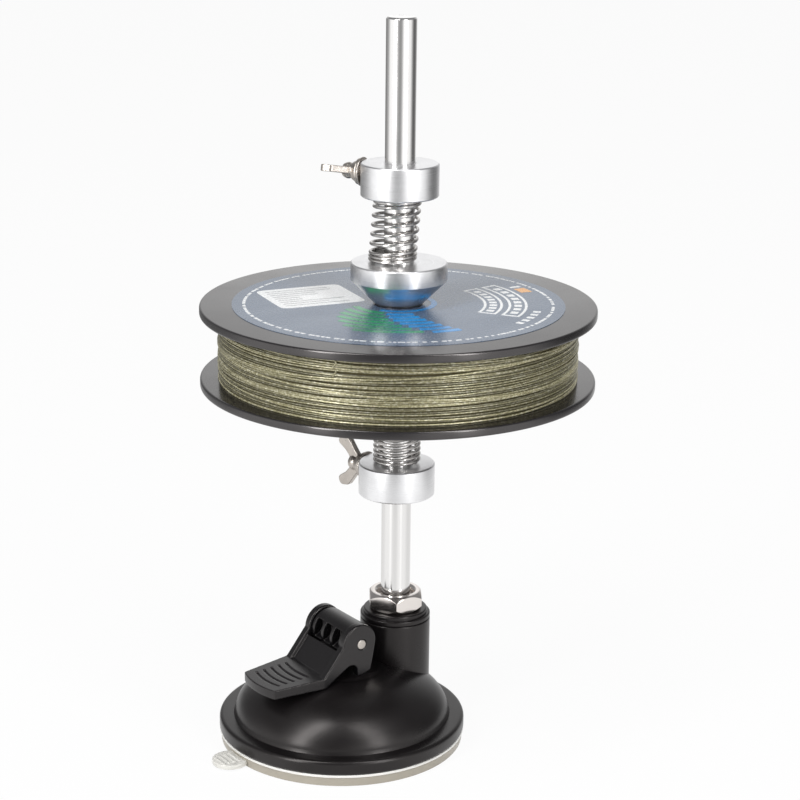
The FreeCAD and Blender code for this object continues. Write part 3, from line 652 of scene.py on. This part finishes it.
def pad_middle():
    """Drawn-up middle of the pad, in one fixed shape; the real one flattens as the lever lets the
    stem down.
    """
    steps = 16
    outline = []
    for step in range(steps + 1):
        radius = CAVITY_R * step / steps
        outline.append(Vector((radius, CAVITY_H * (1 - (radius / CAVITY_R) ** 2))))
    outline += [Vector((CAVITY_R, PAD_TOP)), Vector((BUTTON_R, PAD_TOP)),
                Vector((BUTTON_R, BUTTON_TOP)), Vector((0, BUTTON_TOP))]
    # in the pad's rubber, painted darker as shade
    piece = lathe_piece("pad_middle", outline, "pad_rubber", "base", FOOT_X)
    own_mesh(piece)


# ---- rod, ferrule and nut ---------------------------------------------------------
def rod():
    """Polished rod with a chamfered end."""
    bottom, top = low["spool_rod"].z, high["spool_rod"].z
    chamfer = 0.45 * MM
    outline = rounded([(0, bottom), (ROD_R, bottom), (ROD_R, top - chamfer, 0.12 * MM),
                       (ROD_R - chamfer, top, 0.1 * MM), (0, top)], steps=3)
    piece = lathe_piece("rod_bar", outline, "rod_steel", "base")
    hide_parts("spool_rod")


def ferrule_thread():
    """Sleeve whose threaded end shows inside the nut."""
    turns = 4
    rows_per_turn = 12
    pitch = 1.0 * MM
    depth = 0.45 * MM
    columns = 96
    rows = rows_per_turn * turns
    bm = bmesh.new()
    rings = []
    for row in range(rows + 1):
        z = FERRULE_TOP - turns * pitch * (1 - row / rows)
        ring = []
        for column in range(columns):
            phase = (z / pitch - column / columns) % 1.0
            radius = FERRULE_R - (depth if row == rows else depth * abs(2 * phase - 1))
            angle = 2 * math.pi * column / columns
            ring.append(bm.verts.new((radius * math.cos(angle), radius * math.sin(angle), z)))
        rings.append(ring)
    for radius, z in ((ROD_R, FERRULE_TOP), (ROD_R, FERRULE_LOW), (FERRULE_R, FERRULE_LOW)):
        rings.append(circle(bm, radius, z, columns))
    for below, above in zip(rings, rings[1:] + rings[:1]):
        join_rings(bm, below, above)
    piece = new_piece("ferrule_thread", bm, ["nut_steel"], "base",
                      smooth_angle=60.0)
    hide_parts("rod_ferrule")


def hexagon_nut():
    """Hexagon nut: its round chamfers cut curved edges into the flats."""
    across = 14.0 * MM
    corner_r = across / math.sqrt(3)
    cone_r = corner_r + 0.1 * MM
    face_r = across / 2 - 0.3 * MM
    chamfer = (cone_r - face_r) * math.tan(math.radians(47.0))
    turn = math.radians(-2.0)
    bore = FERRULE_R + 0.02 * MM
    mouth = 0.6 * MM
    bottom, top = low["lock_nut"].z, high["lock_nut"].z
    angles = [turn + i * math.pi / 3 for i in range(6)]
    corners = [(corner_r * math.cos(a), corner_r * math.sin(a)) for a in angles]
    prism = mesh_of(add_prism(bmesh.new(), corners, bottom, top))
    cone = lathe_mesh([(0, bottom), (face_r, bottom), (cone_r, bottom + chamfer),
                       (cone_r, top - chamfer), (face_r, top), (0, top)], steps=256)
    hole = lathe_mesh([(0, bottom - mouth), (bore, bottom - mouth), (bore, top - mouth),
                       (bore + 2 * mouth, top + mouth), (0, top + mouth)], steps=128)
    mesh = combined(combined(prism, cone, "INTERSECT"), hole, "DIFFERENCE")
    mesh = bevelled(mesh, width=0.28 * MM, segments=2, angle=22.0)
    piece = new_piece("hexagon_nut", mesh, ["nut_steel"], "base",
                      smooth_angle=14.0)
    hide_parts("lock_nut")


# ---- cam lever, stem and pin ------------------------------------------------------
def lever():
    """Cam lever in its solid's form, with softened edges."""
    mesh = moulded_copy("cam_lever", voxel=0.12 * MM, passes=11)
    piece = new_piece("lever_moulding", mesh, ["lever_plastic"], "lever",
                      smooth_angle=70.0)
    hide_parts("cam_lever")


def stem():
    """Pull stem in its solid's form, with softened edges."""
    mesh = moulded_copy("pull_stem", voxel=0.14 * MM, passes=5)
    piece = new_piece("stem_moulding", mesh, ["lever_plastic"], "stem",
                      smooth_angle=70.0)
    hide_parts("pull_stem")


def pin():
    """Hinge pin with slightly domed ends."""
    reach = half_width("lever_pin")
    radius = (high["lever_pin"].z - low["lever_pin"].z) / 2
    dome = 0.25 * MM
    outline = rounded([(0, -reach), (radius, -reach, dome), (radius, reach, dome), (0, reach)])
    bm = add_lathe(bmesh.new(), outline, steps=64)
    bmesh.ops.rotate(bm, matrix=Matrix.Rotation(math.pi / 2, 3, "X"), verts=bm.verts)
    bmesh.ops.translate(bm, vec=HINGE, verts=bm.verts)
    piece = new_piece("pin_bar", bm, ["cast_nickel"], "stem")
    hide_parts("lever_pin")


# ---- collars, cones, springs and wing screws --------------------------------------
TURNED_BORE = ROD_R + 0.05 * MM
TURNED_EDGE = 0.3 * MM
EDGE_SOFT = 0.08 * MM


def collar(name, node, body):
    """Plain turned ring with chamfered edges."""
    bottom, top = low[node].z, high[node].z
    outline = rounded([(TURNED_BORE, bottom), (COLLAR_R - TURNED_EDGE, bottom, EDGE_SOFT),
                       (COLLAR_R, bottom + TURNED_EDGE, EDGE_SOFT),
                       (COLLAR_R, top - TURNED_EDGE, EDGE_SOFT),
                       (COLLAR_R - TURNED_EDGE, top, EDGE_SOFT),
                       (TURNED_BORE + 0.2 * MM, top, 0.05 * MM),
                       (TURNED_BORE, top - 0.2 * MM)], steps=3)
    piece = lathe_piece(name, outline, "turned_aluminium", body)
    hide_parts(node)


def cone(name, node, body, spring_face, spool_face):
    """Disc and cone; spring_face is the disc's flat side, spool_face the cone's tip."""
    sign = 1 if spool_face > spring_face else -1
    disc = spring_face + sign * 4.6 * MM
    tip_r = 5.0 * MM
    outline = rounded([(TURNED_BORE, spring_face), (DISC_R - TURNED_EDGE, spring_face, EDGE_SOFT),
                       (DISC_R, spring_face + sign * TURNED_EDGE, EDGE_SOFT),
                       (DISC_R, disc, 0.15 * MM), (tip_r, spool_face, 0.2 * MM),
                       (TURNED_BORE, spool_face)], steps=4)
    piece = lathe_piece(name, outline, "turned_aluminium", body)
    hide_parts(node)


def spring(name, node, closed_low, closed_high, active, lean):
    """Compression spring with closed end turns; lean is its axis's drift at (bottom, top).
    """
    wire = 0.45 * MM
    coil_r = 5.95 * MM
    closed_pitch = 2.04 * wire
    steps_per_turn = 48
    bottom, top = low[node].z, high[node].z
    free = top - bottom - 2 * wire - closed_pitch * (closed_low + closed_high)
    turns = closed_low + active + closed_high
    path = []
    for step in range(round(turns * steps_per_turn) + 1):
        turn = step / steps_per_turn
        z = bottom + wire + closed_pitch * min(turn, closed_low)
        z += free * max(0.0, min(1.0, (turn - closed_low) / active))
        z += closed_pitch * max(0.0, turn - closed_low - active)
        share = (z - bottom) / (top - bottom)
        axis = lean[0] * (1 - share) + lean[1] * share
        angle = 2 * math.pi * turn
        path.append(Vector((axis.x + coil_r * math.cos(angle),
                            axis.y + coil_r * math.sin(angle), z)))
    bm = add_tube(bmesh.new(), path, wire, sides=14)
    piece = new_piece(name, bm, ["spring_steel"], None)
    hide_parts(node)
    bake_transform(piece)


# Wing screw in millimetres: the hub's (radius, height), and the wing's (reach, height).
SCREW_HUB = [(0, -6.2), (2.0, -6.2), (2.0, 0.25), (3.85, 0.25, 0.2), (3.85, 0.8, 0.2),
             (3.3, 0.95, 0.1), (3.5, 1.25, 0.2), (3.5, 1.6, 0.2), (2.9, 1.9, 0.2),
             (2.5, 2.9, 0.8), (1.9, 3.5, 0.6), (2.25, 4.5, 0.9), (1.75, 6.0, 0.9), (0, 6.2)]
SCREW_WING = [(0.4, 2.4, 0), (2.2, 2.9, 0.8), (4.1, 4.4, 2.0), (6.8, 6.4, 1.2),
              (7.2, 9.2, 1.4), (5.0, 10.2, 1.4), (3.2, 7.4, 2.0), (1.5, 5.9, 0.8),
              (0.4, 5.7, 0)]


def wing_screw(name, node, joint, roll, body):
    """Cast wing screw: ringed hub and two wings that flow out of it, in one skin."""
    half_wing = 0.9 * MM
    outward = Vector(joints[joint]["axis"]).normalized()
    mesh = lathe_mesh([(r * MM, z * MM) for r, z in rounded(SCREW_HUB)], steps=96)
    for side in (1, -1):
        outline = [(side * p.x * MM, p.y * MM) for p in rounded(SCREW_WING, steps=6)]
        bm = add_prism(bmesh.new(), outline, -half_wing, half_wing)
        bmesh.ops.rotate(bm, matrix=Matrix.Rotation(math.pi / 2, 3, "X"), verts=bm.verts)
        mesh = combined(mesh, mesh_of(bm))
    mesh = soft_edged(mesh, voxel=0.14 * MM, passes=8)
    upright = outward.to_track_quat("Z", "Y").to_matrix()
    spin = Matrix.Rotation(math.radians(roll), 3, outward)
    turn = (spin @ upright).to_4x4()
    turn.translation = Vector(joints[joint]["pos_m"])
    mesh.transform(turn)
    piece = new_piece(name, mesh, ["cast_nickel"], body, smooth_angle=70.0)
    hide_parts(node)


# ---- spool ------------------------------------------------------------------------
def flange(name, node):
    """Flat disc with round edges."""
    bottom, top = low[node].z, high[node].z
    bore = 5.6 * MM
    edge = 0.6 * MM
    outline = rounded([(bore, bottom), (FLANGE_R, bottom, edge), (FLANGE_R, top, edge),
                       (bore, top)], steps=6)
    piece = lathe_piece(name, outline, "spool_plastic", "spool", steps=288)
    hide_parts(node)


def winding():
    """Wound braid: level turns below, slanted and crossing turns over them, and a short tail.
    Every second crossing turn is a painted lit copy of the line, every second level turn a
    painted shaded copy, and the core shows painted shade between the strands.
    """
    strand = 0.25 * MM
    sides = 6
    segments = 150
    level_turns = 29
    crossing_turns = 16
    core_r = LINE_R - 2.7 * strand
    core_bore = 36.0 * MM
    tail_steps = 12
    tail_step = 0.36
    tail_top = 1.2
    tail_left = 19.0
    # slots: the line's own tone, the core painted dark as shade, a painted lit copy and a painted
    # shaded copy
    plain, depth, light, painted_shade_copy = range(4)
    bottom, top = low["line_winding"].z, high["line_winding"].z
    room = top - bottom - 2 * strand
    rnd = random.Random(11)
    # the core under the turns is painted dark: painted shade between the strands
    core = [(core_bore, bottom), (core_r, bottom), (core_r, top), (core_bore, top)]
    bm = add_lathe(bmesh.new(), core, steps=160, material=depth)
    for index in range(level_turns + crossing_turns):
        crossing = index >= level_turns
        if crossing:
            height = bottom + strand + room * rnd.random()
            tilt = rnd.uniform(0.3, 2.5) * MM
            radius = LINE_R - strand * 1.1 - rnd.random() * 0.06 * MM
        else:
            height = bottom + strand + room * index / (level_turns - 1)
            tilt = rnd.uniform(0.0, 0.25) * MM
            radius = LINE_R - strand * 2.2 + rnd.random() * 0.10 * MM
        phase = rnd.uniform(0, 2 * math.pi)
        wave = rnd.uniform(0.02, 0.11) * MM
        wave_phase = rnd.uniform(0, 2 * math.pi)
        path = []
        for step in range(segments):
            angle = 2 * math.pi * step / segments
            z = height + tilt * math.sin(angle + phase) + wave * math.sin(3 * angle + wave_phase)
            z = min(top - strand, max(bottom + strand, z))
            swell = 0.05 * MM * math.sin(2 * angle + wave_phase)
            path.append(Vector(((radius + swell) * math.cos(angle),
                                (radius + swell) * math.sin(angle), z)))
        # every second turn takes painted light: the lit copy when crossing, the shaded copy when
        # level
        tone = (light if crossing else painted_shade_copy) if index % 2 else plain
        add_tube(bm, path, strand, sides, closed=True, material=tone)
    tail = []
    for step in range(tail_steps + 1):
        angle = VIEW_AZIMUTH - math.pi / 2 - math.radians(tail_left - 0.5 * math.sin(step))
        tail.append(Vector(((LINE_R - strand) * math.cos(angle),
                            (LINE_R - strand) * math.sin(angle),
                            top - (tail_top + tail_step * step) * MM)))
    add_tube(bm, tail, strand, sides, radial=True)
    materials = ["braided_line", "braid_painted_shadow_core", "braid_painted_lit", "braid_painted_shade"]
    piece = new_piece("braid_winding", bm, materials, "spool",
                      smooth_angle=80.0)
    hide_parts("line_winding")


def turned_to_view(x, y):
    """A place on the label, given across and along the line of sight in millimetres."""
    c, s = math.cos(-VIEW_AZIMUTH), math.sin(-VIEW_AZIMUTH)
    return Vector(((x * c + y * s) * MM, (y * c - x * s) * MM))


def sector(inner, outer, start, end, steps):
    """Plan outline of a piece of a ring between two angles in degrees."""
    angles = [math.radians(start + (end - start) * step / steps) for step in range(steps + 1)]
    points = [turned_to_view(outer * math.cos(a), outer * math.sin(a)) for a in angles]
    return points + [turned_to_view(inner * math.cos(a), inner * math.sin(a))
                     for a in reversed(angles)]


def box_outline(centre, width, height, turn, radius):
    """Plan outline of a rounded rectangle."""
    corners = [(-width / 2, -height / 2, radius), (width / 2, -height / 2, radius),
               (width / 2, height / 2, radius), (-width / 2, height / 2, radius)]
    c, s = math.cos(math.radians(turn)), math.sin(math.radians(turn))
    return [turned_to_view(centre[0] + p.x * c - p.y * s, centre[1] + p.x * s + p.y * c)
            for p in rounded(corners)]


def label():
    """Printed film on the upper flange: a generic design of rings, arcs, bars and a ruled panel.

    Its plan is in millimetres and degrees, turned to the photograph's view.
    """
    bore = 6.7 * MM
    bottom, top = low["spool_label"].z, LABEL_TOP
    ink = top - 0.03 * MM
    panel_face = top - 0.015 * MM
    names = ["label_film", "print_white", "print_grey", "print_green", "print_blue",
             "print_orange"]
    white, grey, green, blue, orange = range(1, 6)
    film = [(bore, bottom), (LABEL_R, bottom), (LABEL_R, ink), (bore, ink)]
    bm = add_lathe(bmesh.new(), film, steps=256)

    def arc(inner, outer, first, last, steps, colour):
        add_prism(bm, sector(inner, outer, first, last, steps), ink, top, colour)

    # dashes along the edge
    rnd = random.Random(5)
    start = 0.0
    while start < 356:
        length = rnd.uniform(0.8, 2.6)
        arc(40.3, 41.1, start, start + length, 2, white)
        start += length + rnd.choice((0.5, 0.5, 1.6))
    # ruled panel
    panel, panel_turn = Vector((-23.5, 6.5)), 24
    tilt = Matrix.Rotation(math.radians(panel_turn), 2)
    add_prism(bm, box_outline(panel, 24, 21, panel_turn, 2.5), ink, panel_face, white)
    for row in range(9):
        length = rnd.choice((7, 13, 18))
        line = panel + tilt @ Vector(((length - 20) / 2, 8.0 - 2.0 * row))
        add_prism(bm, box_outline(line, length, 0.7, panel_turn, 0.1), panel_face, top, grey)
    # green and blue sweeps, each a step further out
    for index in range(7):
        inner = 11.0 + 3.1 * index
        first = -160 + 8 * index
        arc(inner, inner + 1.9, first, first + 52 - 3 * index, 14, green)
        arc(inner + 0.6, inner + 2.7, first + 56 - 3 * index, first + 88 - 6 * index, 12, blue)
    arc(8.6, 10.2, -120, 60, 24, blue)
    # two framed rows of bars
    for radius in (22.5, 29.0):
        for inner, outer, first, last in ((0, 0.7, -24, 40), (4.3, 5.0, -24, 40),
                                          (0.7, 4.3, -24, -22.4), (0.7, 4.3, 38.4, 40)):
            arc(radius + inner, radius + outer, first, last, 12, white)
        for bar in range(8):
            arc(radius + 1.5, radius + 3.5, -19 + 7 * bar, -15 + 7 * bar, 3, white)
    # small marks outside them
    arc(35.6, 38.8, 22, 29, 6, orange)
    arc(35.6, 38.8, 31, 33, 3, white)
    for index in range(5):
        arc(35.9, 37.9, -34 + 5 * index, -31.5 + 5 * index, 3, white)
    piece = new_piece("label_disc", bm, names, "spool")
    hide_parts("spool_label")


def paint_hub():
    """The hub keeps its solid and takes the spool's plastic."""
    materials = frame["nodes"]["spool_hub"].data.materials
    materials.clear()
    materials.append(MATERIALS["spool_plastic"])


make_camera()
base_shell()
cap_ring()
pad_skirt()
pull_tab()
pad_middle()
rod()
ferrule_thread()
hexagon_nut()
lever()
stem()
pin()
collar("lower_ring", "lower_collar", "lower_clamp")
collar("upper_ring", "upper_collar", "upper_clamp")
cone("lower_centring", "lower_cone", "spool", low["lower_cone"].z, high["lower_cone"].z)
cone("upper_centring", "upper_cone", "top_cone", high["upper_cone"].z, low["upper_cone"].z)
UPRIGHT = Vector((0.0, 0.0))
spring("lower_coil_wire", "lower_spring", closed_low=1.0, closed_high=0.75, active=6.0,
       lean=(UPRIGHT, UPRIGHT))
spring("upper_coil_wire", "upper_spring", closed_low=2.5, closed_high=1.6, active=5.2,
       lean=(CAMERA_LEFT * 1.8 * MM, CAMERA_LEFT * 0.5 * MM))
wing_screw("lower_wings", "lower_wing_screw", "lower_screw_turn", roll=90.0,
           body="lower_screw")
wing_screw("upper_wings", "upper_wing_screw", "upper_screw_turn", roll=12.0,
           body="upper_screw")
flange("upper_disc", "upper_flange")
flange("lower_disc", "lower_flange")
winding()
label()
paint_hub()


# ---- floor and light --------------------------------------------------------------
# Brightness of the room: (degrees round from the camera towards its right, level).
ROOM = [(-180, 0.6), (-162, 0.25), (-135, 0.25), (-119, 0.38), (-105, 0.5), (-94, 0.9),
        (-84, 1.1), (-53, 1.15), (-46, 2.0), (-38, 2.0), (-33, 1.0), (-26, 0.6), (-18, 0.38),
        (-8, 0.31), (3, 0.4), (11, 0.73), (18, 1.15), (30, 1.2), (34, 2.0), (42, 2.0),
        (48, 1.1), (74, 1.0), (83, 0.66), (94, 0.28), (105, 0.12), (118, 0.14), (134, 0.24),
        (160, 0.8), (180, 0.6)]
FLOOR_R = 6.0
FLOOR_WHITENESS = 0.94
BARE_FLOOR = (0.95, 0.95, 0.95, 1)
CEILING = (0.24, 0.24, 0.245, 1)
STRIP_TILT = math.radians(39.0)
STRIP_DISTANCE = 1.1
STRIP_LENGTH = 1.6


def room_tone(nodes, place):
    """Brightness of the room in a place's direction, the angle round as a share, and its z."""
    turned = nodes.add("ShaderNodeVectorRotate", {"Vector": place, "Angle": -VIEW_AZIMUTH},
                       rotation_type="Z_AXIS")
    x, y, z = nodes.add("ShaderNodeSeparateXYZ", {0: turned.outputs[0]}).outputs
    side = nodes.math("ARCTAN2", x, nodes.math("MULTIPLY", y, -1.0))
    around = nodes.math("ADD", nodes.math("DIVIDE", side, 2 * math.pi), 0.5)
    tone = nodes.ramp(around, [(angle / 360 + 0.5, level) for angle, level in ROOM])
    return tone, around, z


def floor():
    """Pale floor: white to the camera but for the object's soft shadow.

    Metal sees it nearly bare close to the foot, and in the room's tones further out.
    """
    material, nodes = new_material("floor")
    place = nodes.place()
    grain = nodes.noise(place, scale=40.0, detail=3.0)
    tone = nodes.ramp(grain, [(0.3, 0.86), (0.7, 0.88)])
    diffuse = nodes.add("ShaderNodeBsdfDiffuse", {"Color": tone}).outputs[0]
    white = nodes.glow("ShaderNodeEmission", WHITE)
    distance = nodes.add("ShaderNodeVectorMath", {0: place}, operation="LENGTH").outputs["Value"]
    far = nodes.add("ShaderNodeMapRange", {"Value": distance, "From Min": 0.22, "From Max": 0.45,
                                           "To Min": 0.18}).outputs[0]
    mirrored = nodes.glow("ShaderNodeEmission",
                          nodes.mix(far, BARE_FLOOR, room_tone(nodes, place)[0]))
    rays = nodes.add("ShaderNodeLightPath").outputs
    to_camera = nodes.math("MULTIPLY", rays["Is Camera Ray"], FLOOR_WHITENESS)
    glossy = nodes.math("MAXIMUM", rays["Is Glossy Ray"], rays["Is Transmission Ray"])
    seen = nodes.mix_shaders(to_camera, diffuse, white)
    nodes.output(nodes.mix_shaders(glossy, seen, mirrored))
    bm = bmesh.new()
    bmesh.ops.create_circle(bm, cap_ends=True, segments=96, radius=FLOOR_R)
    mesh = bpy.data.meshes.new("floor")
    bm.to_mesh(mesh)
    bm.free()
    mesh.materials.append(material)
    plane = linked("floor", mesh)


def studio():
    """Room round the object: walls, a dim ceiling, and a pale wall that rises behind it."""
    world = bpy.data.worlds.new("studio")
    scene.world = world
    nodes = Nodes(world)
    direction = nodes.add("ShaderNodeTexCoord").outputs["Generated"]
    walls, around, z = room_tone(nodes, direction)
    behind = nodes.ramp(around, [(0.0, 1.0), (0.12, 0.0), (0.88, 0.0), (1.0, 1.0)])
    rise = nodes.ramp(z, [(0.08, 0.0), (0.5, 1.0)])
    low_wall = nodes.ramp(z, [(0.4, 1.15), (0.8, 0.22)])
    ceiling = nodes.mix(behind, CEILING, low_wall)
    room = nodes.mix(nodes.math("MAXIMUM", rise, behind), walls, ceiling)
    seen = nodes.glow("ShaderNodeBackground", room)
    white = nodes.glow("ShaderNodeBackground", WHITE)
    camera_ray = nodes.add("ShaderNodeLightPath").outputs["Is Camera Ray"]
    nodes.output(nodes.mix_shaders(camera_ray, seen, white), "ShaderNodeOutputWorld")


def soft_box(name, azimuth, width, watts):
    """Tall strip lamp that leans over the winder, placed by its angle from the line of sight."""
    lamp = bpy.data.lights.new(name, "AREA")
    lamp.shape = "RECTANGLE"
    lamp.size, lamp.size_y = width, STRIP_LENGTH
    lamp.energy = watts
    angle = VIEW_AZIMUTH + math.radians(azimuth)
    back = Vector((math.sin(angle) * math.cos(STRIP_TILT),
                   -math.cos(angle) * math.cos(STRIP_TILT), math.sin(STRIP_TILT)))
    holder = linked(name, lamp)
    holder.location = back * STRIP_DISTANCE
    holder.rotation_mode = "QUATERNION"
    holder.rotation_quaternion = back.to_track_quat("Z", "Y")


floor()
studio()
soft_box("left_strip", azimuth=-43.0, width=0.22, watts=10.0)
soft_box("right_strip", azimuth=39.0, width=0.18, watts=7.5)

scene.view_settings.view_transform = "Standard"
